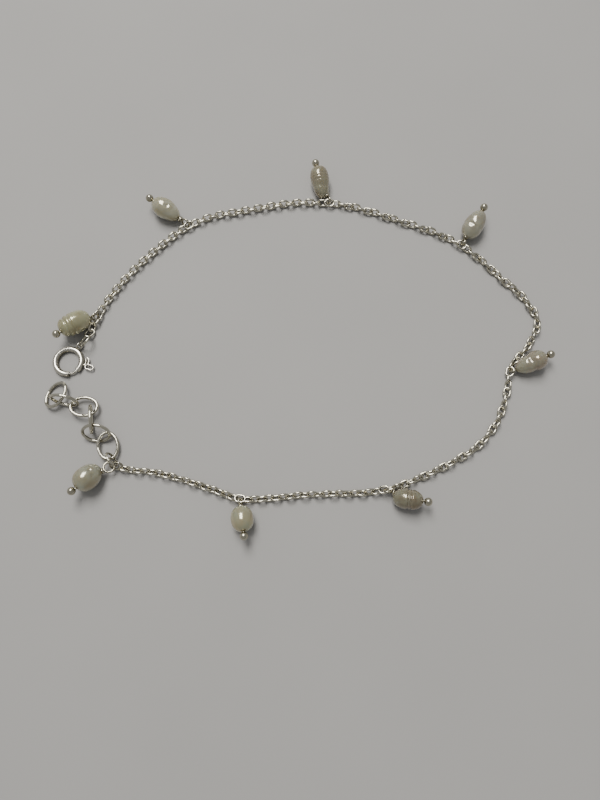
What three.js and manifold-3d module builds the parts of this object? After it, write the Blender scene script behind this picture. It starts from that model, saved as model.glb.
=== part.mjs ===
// A pearl charm bracelet, laid open on a table as one loop.
//
// A fine silver cable chain carries eight freshwater pearls.  Each pearl is threaded on a
// ball-ended head pin whose top is wrapped into a loop, and the loop hooks a link of the chain.
// A jump ring at one end of the chain holds the eye of a spring ring clasp, and another at the
// other end holds a short extension of larger oval links.
//
// Units are millimetres, +Z is up and the table is z = 0.  The chain's fine links are drawn here
// as the tube that they fill; the links that carry something are real links.
import * as THREE from 'three';
import { mergeVertices } from 'three/addons/utils/BufferGeometryUtils.js';
import Module from 'manifold-3d';

const wasm = await Module();
wasm.setup();

// ---------------------------------------------------------------- driving dimensions
const CHAIN = {
  tubeRadius: 0.58, // corner radius of the eight-sided tube that the links fill
  endGap: 0.32, // between a tube's end and the link that it hooks
};
const LINK_LIFT = 0.4; // the loops hold their links up above the chain
const LOOP_ROLL = 25; // a loop leans over, so that it clears the table
const END_LINK = { wire: 0.35, length: 2.5, width: 1.8 }; // the chain's last, by the extension
const DROP_LINK = { wire: 0.34, length: 2.0, width: 1.5 }; // a link that carries a drop
const EXTENSION = { wire: 0.54, length: 5.1, width: 3.75 };
const JUMP_RING = { wire: 0.4, radius: 1.25 };
const CLASP_JUMP_RING = { wire: 0.4, radius: 1.23 };
const PIN = {
  wire: 0.36,
  ballRadius: 0.68,
  holeRadius: 0.32,
  wrapGap: 0.12, // from the loop to its wrap
  wrapGroove: 0.12, // how deep the furrow between two turns of the wrap is
  clearance: 0.08,
};
const SEAT_GAP = 0.03; // between a pearl and what bears on its ends
const CLASP = {
  x: -39.8, // centre of the ring on the table
  y: -4.1,
  ringRadius: 2.27, // to the middle of the tube
  tubeRadius: 0.48,
  boreRadius: 0.32, // the tube is hollow, and the gate slides in it
  gapFrom: -82, // the mouth, in degrees round the ring
  gapTo: -45,
  gateRadius: 0.2,
  gateFrom: -86,
  gateTo: 2,
  triggerAngle: -12,
  triggerWire: 0.14,
  travel: 32,
  hairpinGap: 0.26, // from the ring to the middle of the trigger's inner leg
  hairpinWidth: 0.48, // between its two legs
  hairpinTo: 7, // the angle that its bend starts at
  slotGap: 0.06, // between the stem and each wall of its slot
  slotRoom: 6, // degrees that the slot is longer than the stem's sweep, at each end
  tab: { length: 1.7, width: 1.05, wire: 0.28 },
  tabAngle: -16,
  tabReach: 0.82, // from the inner leg to the tab's centre
  eyeAngle: 56,
  eyeReach: 3.29, // from the ring's centre to the eye's centre
  eyeLift: 0.3,
  eyeLean: -16, // out of upright
  eyeRadius: 0.6,
  eyeWire: 0.16,
};
const FLOOR_GAP = 0.02; // left under a piece that rests, so that no facet dips below the table

const DEG = Math.PI / 180;
const SILVER = 0xb7b3a4;
const OLD_SILVER = 0x9c988a;
const PEARL = 0xcfc5ad;

// The chain's centre line on the table, from the clasp round to the extension.
const CHAIN_ROUTE = [
  [-36.47, 1.05], [-36.05, 2.3], [-35.5, 3.4], [-35.05, 4.6], [-34.25, 6.35], [-31.6, 10.5],
  [-28.3, 14.5], [-24.6, 18.2], [-20.6, 21.5], [-16.1, 23.7], [-11.0, 24.8], [-5.9, 25.8],
  [-0.8, 26.6], [4.4, 26.6], [9.5, 26.0], [14.5, 24.5], [19.4, 22.7], [24.3, 20.9],
  [28.9, 18.55], [32.95, 15.3], [36.5, 11.5], [40.1, 7.75], [42.25, 3.2], [40.25, -1.25],
  [36.9, -5.2], [35.7, -10.2], [33.7, -14.9], [30.3, -18.9], [25.9, -21.6], [21.3, -23.8],
  [16.4, -25.7], [11.3, -26.7], [6.1, -26.9], [0.9, -27.1], [-4.2, -27.6], [-9.4, -27.7],
  [-14.3, -26.1], [-19.3, -24.5], [-24.3, -23.3], [-27.6, -23.0], [-28.75, -22.75],
  [-29.98, -22.38],
];

// The drops.  "along" is the place of the carrying link, measured along the chain from its first
// link; the drop on the chain's last link has none.  "heading" is the way that its pin points on
// the table, and "turn" is how far the pearl's long axis is turned from the pin, which passes it
// to one side by "aside".  Length and width are the pearl's, grooves and taper shape it, turns
// are those of the wrap, and tuck is how deep the wrap sinks into the hole's mouth.
const DROPS = [
  { number: 1, along: 27.05, heading: 147, turn: 0, aside: 0, length: 5.7, width: 3.6, loop: 0.72,
    turns: 2.0, tuck: 0.1, blunt: 2.0, taper: 0.1, grooves: [[0.3, 0.05, 0.08]] },
  { number: 2, along: 53.55, heading: 109, turn: -10, aside: 0.35, length: 6.1, width: 3.35,
    loop: 0.53, turns: 3.0, tuck: 1.15, blunt: 2.5, taper: 0.2, grooves: [[0.36, 0.05, 0.07]] },
  { number: 3, along: 79.1, heading: 58, turn: 0, aside: -0.1, length: 5.6, width: 3.6, loop: 0.56,
    turns: 1.5, tuck: 0.35, blunt: 2.2, taper: -0.12, grooves: [[0.4, 0.04, 0.06]] },
  { number: 4, along: 109.85, heading: 21.5, turn: 2, aside: -0.05, length: 5.7, width: 3.4,
    loop: 0.54, turns: 1.5, tuck: 0.8, blunt: 2.1, taper: 0.24, grooves: [[0.5, 0.1, 0.09]] },
  { number: 5, along: 142.3, heading: -17, turn: 7, aside: -0.45, length: 5.0, width: 3.4,
    loop: 0.66, turns: 1.0, tuck: 0.2, blunt: 2.3, taper: 0, grooves: [[0.53, 0.08, 0.04]] },
  { number: 6, along: 166.0, heading: -81, turn: 0, aside: 0, length: 4.3, width: 3.75, loop: 0.53,
    turns: 1.0, tuck: 0.2, blunt: 2.2, taper: -0.02, grooves: [] },
  { number: 7, along: null, heading: -142, turn: 7, aside: -0.5, length: 5.0, width: 4.0, loop: 0.84,
    turns: 1.3, tuck: 0.35, blunt: 2.1, taper: 0.08, grooves: [] },
  { number: 8, along: 3.45, heading: -145.5, turn: 2.5, aside: -0.5, length: 5.75, width: 3.85,
    loop: 0.6, turns: 1.5, tuck: 0.6, blunt: 2.5, taper: 0.04,
    grooves: [[0.62, 0.1, 0.05], [0.78, 0.12, 0.05]] },
];

// The extension's links: where the middle of each lies, which way its long side points and how
// far it is rolled out of flat.
const EXTENSION_LINKS = [
  { x: -31.72, y: -18.96, z: 0.92, heading: 103, roll: 3 },
  { x: -33.69, y: -16.92, z: 1.47, heading: -4, roll: 45 },
  { x: -34.57, y: -14.64, z: 1.9, heading: 97, roll: -77 },
  { x: -36.25, y: -12.28, z: 1.09, heading: 178, roll: 4 },
  { x: -39.34, y: -11.37, z: 1.87, heading: 169, roll: 106 },
  { x: -41.3, y: -10.13, z: 0.83, heading: 63, roll: -18 },
];

// The larger links and rings at the chain's two ends, and the middle of the last drop's loop.
const CHAIN_END_PLACES = {
  end_link_clasp: { x: -36.47, y: 1.05, z: 0.69, heading: 57, roll: 3, pitch: -17 },
  clasp_jump_ring: { x: -37.04, y: -0.4, z: 1.17, heading: 53, roll: -49, pitch: 2 },
  end_link_extension: { x: -29.98, y: -22.38, z: 1.15, heading: 178, roll: 129, pitch: -9 },
  jump_ring: { x: -30.71, y: -21.35, z: 1.52, heading: -55, roll: 102 },
};
const LAST_LOOP = { x: -31.21, y: -22.58, z: 1.14 };

// ---------------------------------------------------------------- shared makers
const bracelet = new THREE.Group();

/** A mesh of one closed body, its shared corners merged, as a solid that can be joined or cut. */
function solidOf(geometry) {
  const plain = geometry.clone();
  for (const name of ['normal', 'uv']) plain.deleteAttribute(name);
  const merged = mergeVertices(plain, 1e-5);
  const mesh = new wasm.Mesh({
    numProp: 3,
    vertProperties: new Float32Array(merged.attributes.position.array),
    triVerts: new Uint32Array(merged.index.array),
  });
  return new wasm.Manifold(mesh);
}

/** The geometry of a solid. */
function geometryOf(solid) {
  const mesh = solid.getMesh();
  const geometry = new THREE.BufferGeometry();
  geometry.setAttribute('position', new THREE.BufferAttribute(mesh.vertProperties.slice(), 3));
  geometry.setIndex(new THREE.BufferAttribute(mesh.triVerts.slice(), 1));
  return geometry;
}

/** Several closed geometries as one solid body. */
function joined(...geometries) {
  return geometryOf(geometries.map(solidOf).reduce((whole, piece) => whole.add(piece)));
}

/** The same surface with its faces turned to point out, if they point in. */
function facingOut(geometry) {
  const { position } = geometry.attributes;
  const order = geometry.index ? geometry.index.array : [...position.array.keys()];
  const corner = [new THREE.Vector3(), new THREE.Vector3(), new THREE.Vector3()];
  const count = geometry.index ? order.length : position.count;
  let volume = 0;
  for (let i = 0; i < count; i += 3) {
    corner.forEach((point, k) => point.fromBufferAttribute(position, geometry.index ? order[i + k] : i + k));
    volume += corner[0].dot(corner[1].clone().cross(corner[2]));
  }
  if (volume > 0) return geometry;
  const turned = geometry.index ? geometry.clone() : mergeVertices(geometry, 1e-6);
  const index = turned.index.array;
  for (let i = 0; i < index.length; i += 3) {
    [index[i + 1], index[i + 2]] = [index[i + 2], index[i + 1]];
  }
  return turned;
}

/** A polygon with its flats square to the axes, as a circle's stand-in. */
function polygon(radius, sides) {
  const shape = new THREE.Shape();
  for (let i = 0; i < sides; i += 1) {
    const angle = ((i + 0.5) / sides) * 2 * Math.PI;
    const point = [radius * Math.cos(angle), radius * Math.sin(angle)];
    if (i === 0) shape.moveTo(...point);
    else shape.lineTo(...point);
  }
  shape.closePath();
  return shape;
}

/** A section carried along a curve, closed at both ends. */
function sweep(shape, curve, steps) {
  const geometry = new THREE.ExtrudeGeometry(shape, { steps, extrudePath: curve, curveSegments: 1 });
  return facingOut(geometry);
}

/**
 * A closed wire ring, longer along X than it is wide: either two half circles drawn apart, as a
 * link closed on a straight mandrel is, or a true oval.
 */
function wireRing({ length, width, wire }, sides, segments, isOval = false) {
  const middle = (width - wire) / 2;
  const ring = new THREE.TorusGeometry(middle, wire / 2, sides, segments);
  ring.rotateZ(Math.PI / segments); // no corner is left at the ring's waist
  const half = (length - width) / 2;
  const { position } = ring.attributes;
  for (let i = 0; i < position.count; i += 1) {
    const [x, y] = [position.getX(i), position.getY(i)];
    position.setX(i, x + half * (isOval ? x / Math.hypot(x, y) : Math.sign(x)));
  }
  return ring;
}

/** A round wire ring whose middle line has a radius. */
function roundRing({ radius, wire }, sides, segments) {
  const across = 2 * radius + wire;
  return wireRing({ length: across, width: across, wire }, sides, segments);
}

/** Adds one named piece of the bracelet. */
function add(name, geometry, color, { roughness = 0.3, metalness = 1 } = {}) {
  const material = new THREE.MeshStandardMaterial({ color, roughness, metalness });
  material.name = name;
  const mesh = new THREE.Mesh(geometry, material);
  mesh.name = name;
  bracelet.add(mesh);
  return mesh;
}

/** Lays a piece: its X axis along the heading, rolled about it, its nose raised by the pitch. */
function lay(mesh, { x, y, z, heading, roll = 0, pitch = 0 }) {
  mesh.position.set(x, y, z);
  mesh.rotation.set(roll * DEG, -pitch * DEG, heading * DEG, 'ZYX');
  return mesh;
}

/** A level unit vector. */
function level(heading) {
  return new THREE.Vector3(Math.cos(heading * DEG), Math.sin(heading * DEG), 0);
}

// ---------------------------------------------------------------- the chain
const chainHeight = CHAIN.tubeRadius * Math.cos(Math.PI / 8); // its lowest flat is on the table
const route = new THREE.CatmullRomCurve3(
  CHAIN_ROUTE.map(([x, y]) => new THREE.Vector3(x, y, chainHeight)),
  false,
  'centripetal',
);
route.arcLengthDivisions = 2000;
const chainLength = route.getLength();

/** The stretch of the chain's route between two distances along it. */
class Stretch extends THREE.Curve {
  constructor(from, to) {
    super();
    this.from = from / chainLength;
    this.to = to / chainLength;
  }

  getPoint(t, target = new THREE.Vector3()) {
    return target.copy(route.getPointAt(THREE.MathUtils.lerp(this.from, this.to, t)));
  }
}

const linkPlaces = DROPS.filter((drop) => drop.along !== null).map((drop) => drop.along);
linkPlaces.sort((a, b) => a - b);

/** The tubes that stand for the links between one carrying link and the next. */
function makeChain() {
  const stops = [0, ...linkPlaces, chainLength];
  for (let i = 0; i + 1 < stops.length; i += 1) {
    const last = i + 2 === stops.length;
    const from = stops[i] + DROP_LINK.length / 2 + CHAIN.endGap;
    const to = stops[i + 1] - (last ? END_LINK : DROP_LINK).length / 2 - CHAIN.endGap;
    const steps = Math.max(1, Math.round((to - from) / 2.5));
    const tube = sweep(polygon(CHAIN.tubeRadius, 8), new Stretch(from, to), steps);
    add(`chain_${i + 1}`, tube, SILVER);
  }
}

/** The larger links and the jump rings that join the chain to the clasp and the extension. */
function makeChainEnds() {
  const rings = {
    end_link_clasp: wireRing(DROP_LINK, 6, 12),
    clasp_jump_ring: roundRing(CLASP_JUMP_RING, 6, 14),
    end_link_extension: wireRing(END_LINK, 6, 12),
    jump_ring: roundRing(JUMP_RING, 6, 16),
  };
  for (const [name, place] of Object.entries(CHAIN_END_PLACES)) {
    lay(add(name, rings[name], SILVER), place);
  }
}

// ---------------------------------------------------------------- the drops
/** A pearl's half width at a share v of its length, from its loop end to its ball end. */
function pearlRadius(drop, v) {
  const across = Math.abs(2 * v - 1);
  const round = (1 - across ** drop.blunt) ** (1 / drop.blunt);
  const lean = 1 + drop.taper * (2 * v - 1);
  const rings = drop.grooves.reduce(
    (cut, [place, depth, spread]) => cut + depth * Math.exp(-(((v - place) / spread) ** 2)),
    0,
  );
  return (drop.width / 2) * round * lean * (1 - rings);
}

/** Where things lie along a drop's pin, measured from the middle of its loop. */
function dropPlaces(drop) {
  const wrapStart = drop.loop + PIN.wrapGap;
  const wrapEnd = wrapStart + drop.turns * PIN.wire;
  const pearlMiddle = wrapEnd + SEAT_GAP - drop.tuck + drop.length / 2;
  const ball = pearlMiddle + drop.length / 2 + SEAT_GAP + PIN.ballRadius;
  return { wrapStart, wrapEnd, pearlMiddle, ball };
}

/** A drop's pearl about its pin, which lies on the X axis, with a hole for the pin's shaft. */
function pearlShape(drop) {
  const { wrapEnd, pearlMiddle, ball } = dropPlaces(drop);
  const rings = 11;
  const outline = [];
  for (let i = 0; i <= rings; i += 1) {
    const v = (1 - Math.cos((Math.PI * i) / rings)) / 2; // closer together at the ends
    const radius = i % rings === 0 ? 0 : pearlRadius(drop, v);
    outline.push(new THREE.Vector2(radius, (v - 0.5) * drop.length));
  }
  const body = facingOut(new THREE.LatheGeometry(outline, 12)).rotateZ(-Math.PI / 2);
  body.rotateZ(drop.turn * DEG).translate(pearlMiddle, drop.aside, 0);
  const mouthRadius = 1.5 * PIN.wire + PIN.clearance; // clears the wrap where it sinks in
  const mouthEnd = wrapEnd + PIN.clearance;
  const hole = [[0, 0], [mouthRadius, 0], [mouthRadius, mouthEnd], [PIN.holeRadius, mouthEnd],
    [PIN.holeRadius, ball], [0, ball]].map(([radius, x]) => new THREE.Vector2(radius, x));
  const cutter = facingOut(new THREE.LatheGeometry(hole, 8)).rotateZ(-Math.PI / 2);
  return geometryOf(solidOf(body).subtract(solidOf(cutter)));
}

/** The head pin on the X axis: loop at the origin, wrap, shaft and ball, all one piece of metal. */
function pinShape(drop) {
  const { wrapStart, wrapEnd, ball } = dropPlaces(drop);
  const shaft = PIN.wire / 2;
  const wrap = shaft + PIN.wire;
  const furrow = wrap - PIN.wrapGroove;
  const slant = 0.02; // keeps the outline's steps from being square
  const outline = [new THREE.Vector2(0, drop.loop - slant), new THREE.Vector2(shaft, drop.loop)];
  const turns = Math.ceil(drop.turns);
  const pitch = (wrapEnd - wrapStart) / turns;
  for (let i = 0; i < turns; i += 1) {
    outline.push(new THREE.Vector2(furrow, wrapStart + i * pitch + slant));
    outline.push(new THREE.Vector2(wrap, wrapStart + (i + 0.5) * pitch));
  }
  outline.push(new THREE.Vector2(furrow, wrapEnd - slant), new THREE.Vector2(shaft, wrapEnd - slant / 2));
  const neck = Math.asin(shaft / PIN.ballRadius);
  const arcs = 6;
  for (let i = 0; i <= arcs; i += 1) {
    const angle = neck + ((Math.PI - neck) * i) / arcs;
    const radius = i === arcs ? 0 : PIN.ballRadius * Math.sin(angle);
    outline.push(new THREE.Vector2(radius, ball - PIN.ballRadius * Math.cos(angle)));
  }
  const stem = facingOut(new THREE.LatheGeometry(outline, 8)).rotateZ(-Math.PI / 2);
  const loop = new THREE.TorusGeometry(drop.loop, PIN.wire / 2, 6, 14);
  loop.rotateX(Math.PI / 2); // the loop stands in the XZ plane
  return joined(stem, loop);
}

/** The lowest point of a pearl whose middle is at a height and whose pin climbs at a slope. */
function lowestPoint(drop, height, slope) {
  const climb = slope * Math.cos(drop.turn * DEG);
  const level = Math.sqrt(1 - climb ** 2);
  const places = Array.from({ length: 41 }, (_, i) => i / 40);
  return Math.min(...places.map(
    (v) => height + (v - 0.5) * drop.length * climb - pearlRadius(drop, v) * level,
  ));
}

/**
 * How steeply a drop climbs from its hook so that its pearl just rests on the table, found by
 * halving a range.  The hook is at a height, and the pearl's middle is at a distance from it.
 */
function restingSlope(drop, hookHeight, distance) {
  let [low, high] = [0, 0.6];
  for (let i = 0; i < 24; i += 1) {
    const slope = (low + high) / 2;
    if (lowestPoint(drop, hookHeight + distance * slope, slope) < FLOOR_GAP) low = slope;
    else high = slope;
  }
  return high;
}

/** One drop from the middle of its loop: the pin, rolled about its axis, and its pearl. */
function hangDrop(drop, centre, slope, roll) {
  const rise = Math.asin(slope) / DEG;
  const place = { x: centre.x, y: centre.y, z: centre.z, heading: drop.heading, pitch: rise };
  lay(add(`head_pin_${drop.number}`, pinShape(drop), OLD_SILVER), { ...place, roll });
  const finish = { roughness: 0.25, metalness: 0 };
  lay(add(`pearl_${drop.number}`, pearlShape(drop), PEARL, finish), place);
}

/** The drops that hook a link of the chain, each with its carrying link. */
function makeChainDrops() {
  const linkHeight = chainHeight + LINK_LIFT;
  const link = wireRing(DROP_LINK, 6, 12);
  for (const drop of DROPS.filter(({ along }) => along !== null)) {
    const share = drop.along / chainLength;
    const hook = route.getPointAt(share).setZ(linkHeight);
    const way = route.getTangentAt(share);
    const slope = restingSlope(drop, linkHeight, drop.loop + dropPlaces(drop).pearlMiddle);
    const axis = level(drop.heading).multiplyScalar(Math.sqrt(1 - slope ** 2)).setZ(slope);
    const up = way.clone().cross(axis).normalize();
    if (up.z < 0) up.negate();
    const side = up.clone().cross(way);
    const carrier = add(`drop_link_${drop.number}`, link.clone(), SILVER);
    carrier.position.copy(hook);
    carrier.quaternion.setFromRotationMatrix(new THREE.Matrix4().makeBasis(way, side, up));
    hangDrop(drop, hook.clone().addScaledVector(axis, drop.loop), slope, LOOP_ROLL);
  }
}

/** The drop whose larger loop, lying flat, hooks the end of the chain's last link. */
function makeLastDrop() {
  const drop = DROPS.find(({ along }) => along === null);
  const slope = restingSlope(drop, LAST_LOOP.z, dropPlaces(drop).pearlMiddle);
  hangDrop(drop, LAST_LOOP, slope, 90);
}

// ---------------------------------------------------------------- the extension
function makeExtension() {
  const link = wireRing(EXTENSION, 6, 18, true);
  EXTENSION_LINKS.forEach((place, i) => {
    lay(add(`extension_link_${i + 1}`, link.clone(), SILVER), place);
  });
}

// ---------------------------------------------------------------- the spring ring clasp
/** An arc round the origin in the XY plane, from one angle to another. */
class Arc extends THREE.Curve {
  constructor(radius, from, to) {
    super();
    Object.assign(this, { radius, from, to });
  }

  getPoint(t, target = new THREE.Vector3()) {
    const angle = THREE.MathUtils.lerp(this.from, this.to, t) * DEG;
    return target.set(this.radius * Math.cos(angle), this.radius * Math.sin(angle), 0);
  }
}

/** The flat sector that the trigger's stem sweeps as the gate opens, a little larger. */
function slotCutter() {
  const shape = new THREE.Shape();
  const from = (CLASP.triggerAngle - CLASP.slotRoom) * DEG;
  const to = (CLASP.triggerAngle + CLASP.travel + CLASP.slotRoom) * DEG;
  shape.absarc(0, 0, CLASP.ringRadius + CLASP.tubeRadius + 0.2, from, to, false);
  shape.absarc(0, 0, CLASP.ringRadius, to, from, true);
  const depth = 2 * (CLASP.triggerWire + CLASP.slotGap);
  const options = { depth, bevelEnabled: false, curveSegments: 8 };
  return new THREE.ExtrudeGeometry(shape, options).translate(0, 0, -depth / 2);
}

/** The hollow ring, open at its mouth and slotted for the trigger, with its soldered eye. */
function claspRingShape() {
  const wall = polygon(CLASP.tubeRadius, 10);
  wall.holes.push(polygon(CLASP.boreRadius, 8));
  const tube = sweep(wall, new Arc(CLASP.ringRadius, CLASP.gapTo, CLASP.gapFrom + 360), 28);
  const eye = roundRing({ radius: CLASP.eyeRadius, wire: 2 * CLASP.eyeWire }, 6, 12);
  eye.rotateX(Math.PI / 2 + CLASP.eyeLean * DEG).translate(CLASP.eyeReach, 0, CLASP.eyeLift);
  eye.rotateZ(CLASP.eyeAngle * DEG);
  const ring = solidOf(tube).subtract(solidOf(slotCutter()));
  return geometryOf(ring.add(solidOf(eye)));
}

/** The gate: a bent wire that bridges the mouth, with the trigger that draws it back. */
function claspGateShape() {
  const wire = sweep(
    polygon(CLASP.gateRadius, 6),
    new Arc(CLASP.ringRadius, CLASP.gateFrom, CLASP.gateTo),
    9,
  );
  const inner = CLASP.ringRadius + CLASP.tubeRadius + CLASP.hairpinGap;
  const outer = inner + CLASP.hairpinWidth;
  const stemEnd = inner + CLASP.triggerWire / 3; // ends inside the leg
  const stem = new THREE.CylinderGeometry(
    CLASP.triggerWire,
    CLASP.triggerWire,
    stemEnd - CLASP.ringRadius,
    6,
  );
  stem.rotateZ(Math.PI / 2).translate((CLASP.ringRadius + stemEnd) / 2, 0, 0);
  stem.rotateZ(CLASP.triggerAngle * DEG);
  const bend = (CLASP.hairpinWidth / 2 / inner) / DEG;
  const legs = [[-14, inner], [-7, inner], [0, inner], [CLASP.hairpinTo, inner],
    [CLASP.hairpinTo + bend, (inner + outer) / 2], [CLASP.hairpinTo, outer], [-3, outer],
    [CLASP.tabAngle + 6, outer]];
  const way = new THREE.CatmullRomCurve3(
    legs.map(([angle, radius]) => level(angle).multiplyScalar(radius)),
  );
  const hairpin = sweep(polygon(CLASP.triggerWire, 6), way, 12);
  const tab = wireRing(CLASP.tab, 6, 10);
  tab.translate(inner + CLASP.tabReach, 0, 0).rotateZ(CLASP.tabAngle * DEG);
  return joined(wire, stem, hairpin, tab);
}

function makeClasp() {
  const height = CLASP.tubeRadius + FLOOR_GAP;
  for (const [name, shape] of [['clasp_ring', claspRingShape()], ['clasp_gate', claspGateShape()]]) {
    const piece = add(name, shape, SILVER, { roughness: 0.22 });
    piece.position.set(CLASP.x, CLASP.y, height);
  }
}

makeChain();
makeChainEnds();
makeChainDrops();
makeLastDrop();
makeExtension();
makeClasp();

export default bracelet;
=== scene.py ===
# %% [markdown]
# # A pearl charm bracelet
#
# The real bracelet is a fine silver cable chain that lies open on a table. Eight freshwater
# pearls hang from it on wrapped head pins, and it closes with a spring ring clasp and a short
# extension of larger oval links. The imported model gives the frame: where each piece lies and how
# large it is. The frame's own pieces are faceted, so this script makes each of them again as a
# smooth surface of the same size, in the same place, and then gives it its finish.

# %% Load the frame
import bmesh
import bpy
import numpy as np
from mathutils import Matrix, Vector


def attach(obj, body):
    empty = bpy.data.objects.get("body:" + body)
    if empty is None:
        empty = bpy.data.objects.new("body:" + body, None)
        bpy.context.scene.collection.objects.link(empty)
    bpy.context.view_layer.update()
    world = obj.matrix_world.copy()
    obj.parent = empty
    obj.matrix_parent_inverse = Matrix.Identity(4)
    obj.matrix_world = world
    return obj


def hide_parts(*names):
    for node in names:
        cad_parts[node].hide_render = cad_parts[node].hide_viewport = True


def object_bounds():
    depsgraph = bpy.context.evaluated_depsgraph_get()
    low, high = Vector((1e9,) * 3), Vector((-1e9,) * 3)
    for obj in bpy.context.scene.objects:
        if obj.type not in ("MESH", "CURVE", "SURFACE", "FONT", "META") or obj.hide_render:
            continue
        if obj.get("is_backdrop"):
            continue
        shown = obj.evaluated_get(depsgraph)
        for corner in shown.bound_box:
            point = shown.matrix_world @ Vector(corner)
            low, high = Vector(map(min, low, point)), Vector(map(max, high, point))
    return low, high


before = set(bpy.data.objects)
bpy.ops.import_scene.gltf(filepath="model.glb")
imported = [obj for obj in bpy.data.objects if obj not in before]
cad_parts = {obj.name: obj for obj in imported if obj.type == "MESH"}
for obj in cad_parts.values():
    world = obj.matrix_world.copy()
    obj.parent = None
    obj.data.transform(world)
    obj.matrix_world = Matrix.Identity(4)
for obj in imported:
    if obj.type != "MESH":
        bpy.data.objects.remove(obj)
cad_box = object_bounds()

MM = 0.001
RNG = np.random.default_rng(7)
print("box in mm", [round((h - l) / MM, 2) for l, h in zip(*cad_box)])

# %% [markdown]
# ## Camera, table and light
#
# The bracelet is seen from above, from its near side. One broad window light stands high beyond
# the far side, a little to the left, and throws short soft shadows towards the viewer. The rest
# of the room is dim, which is what gives polished silver its dark streaks beside its bright ones.
# A studio could also use an even white dome, but metal and nacre look like grey plastic in one.

# %% Colours
def linear(hex_code, alpha=1.0):
    """An sRGB colour such as "c8c0b0" as the linear numbers that shaders take: each channel c is
    c / 12.92 up to 0.04045, and ((c + 0.055) / 1.055) ** 2.4 above it."""
    c = np.array([int(hex_code[i:i + 2], 16) / 255 for i in (0, 2, 4)])
    c = np.where(c <= 0.04045, c / 12.92, ((c + 0.055) / 1.055) ** 2.4)
    return (*c.tolist(), alpha)


# %% Camera
CAMERA_PLACE = (0.4, -35.5, 100.3)
CAMERA_TILT = 13.8  # degrees away from straight down
CAMERA_LENS = 27.05

camera = bpy.data.objects.new("camera", bpy.data.cameras.new("camera"))
bpy.context.scene.collection.objects.link(camera)
camera.location = [c * MM for c in CAMERA_PLACE]
camera.rotation_euler = (np.radians(CAMERA_TILT), 0, 0)
camera.data.lens = CAMERA_LENS
camera.data.sensor_width = 36
camera.data.clip_start, camera.data.clip_end = 0.005, 10
bpy.context.scene.camera = camera
print("camera", CAMERA_PLACE, "mm, lens", CAMERA_LENS)

# %% Lights
KEY_WAY = np.array((-0.17, 0.47, 0.86))


def area_light(name, way, distance, size, power, colour):
    """A rectangular light that looks at the bracelet from a distance along a direction. Its
    second side runs away from the viewer."""
    way = np.array(way, float) / np.linalg.norm(way)
    across = np.cross((0, 1, 0), way)
    across = across / np.linalg.norm(across)
    data = bpy.data.lights.new(name, "AREA")
    data.shape, data.size, data.size_y = "RECTANGLE", *size
    data.energy, data.color = power, linear(colour)[:3]
    light = bpy.data.objects.new(name, data)
    bpy.context.scene.collection.objects.link(light)
    light.location = (way * distance).tolist()
    turn = Matrix(np.stack([across, np.cross(way, across), way], 1).tolist())
    light.rotation_euler = turn.to_euler()
    return light


area_light("window", KEY_WAY, distance=1.2, size=(0.5, 0.74), power=16.0, colour="fffcf6")

# %% [markdown]
# ## Finishes
#
# Every finish is a Principled shader fed by procedural patterns. The patterns read Object
# coordinates, which are metres here, so a pattern's scale is one over its real size: a blotch of
# 3 mm has the scale 1 / (3 * MM). One helper adds a node with its settings and links.

# %% Materials: helpers
def add_node(tree, kind, settings=None, **inputs):
    """Adds a node, sets its properties, and fills each named input with a value or a link."""
    made = tree.nodes.new(kind)
    for key, value in (settings or {}).items():
        setattr(made, key, value)
    for key, value in inputs.items():
        socket = made.inputs[int(key[1:])] if key[0] == "i" and key[1:].isdigit() else made.inputs[key]
        if isinstance(value, bpy.types.NodeSocket):
            tree.links.new(value, socket)
        else:
            socket.default_value = value
    return made


def new_material(name):
    """A material with an empty tree, its shader and its output."""
    material = bpy.data.materials.new(name)
    material.use_nodes = True
    tree = material.node_tree
    tree.nodes.clear()
    shader = tree.nodes.new("ShaderNodeBsdfPrincipled")
    output = tree.nodes.new("ShaderNodeOutputMaterial")
    tree.links.new(shader.outputs["BSDF"], output.inputs["Surface"])
    return material, tree, shader


def colour_ramp(tree, factor, stops):
    """A colour ramp from (place, hex colour) stops."""
    ramp = add_node(tree, "ShaderNodeValToRGB", Fac=factor)
    elements = ramp.color_ramp.elements
    while len(elements) < len(stops):
        elements.new(0.5)
    for element, (place, colour) in zip(elements, stops):
        element.position, element.color = place, linear(colour)
    return ramp.outputs["Color"]


def number_range(tree, value, low, high, to_low, to_high):
    """A value mapped from one range to another, clamped."""
    mapped = add_node(tree, "ShaderNodeMapRange", Value=value, **{
        "From Min": low, "From Max": high, "To Min": to_low, "To Max": to_high})
    return mapped.outputs["Result"]
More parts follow.
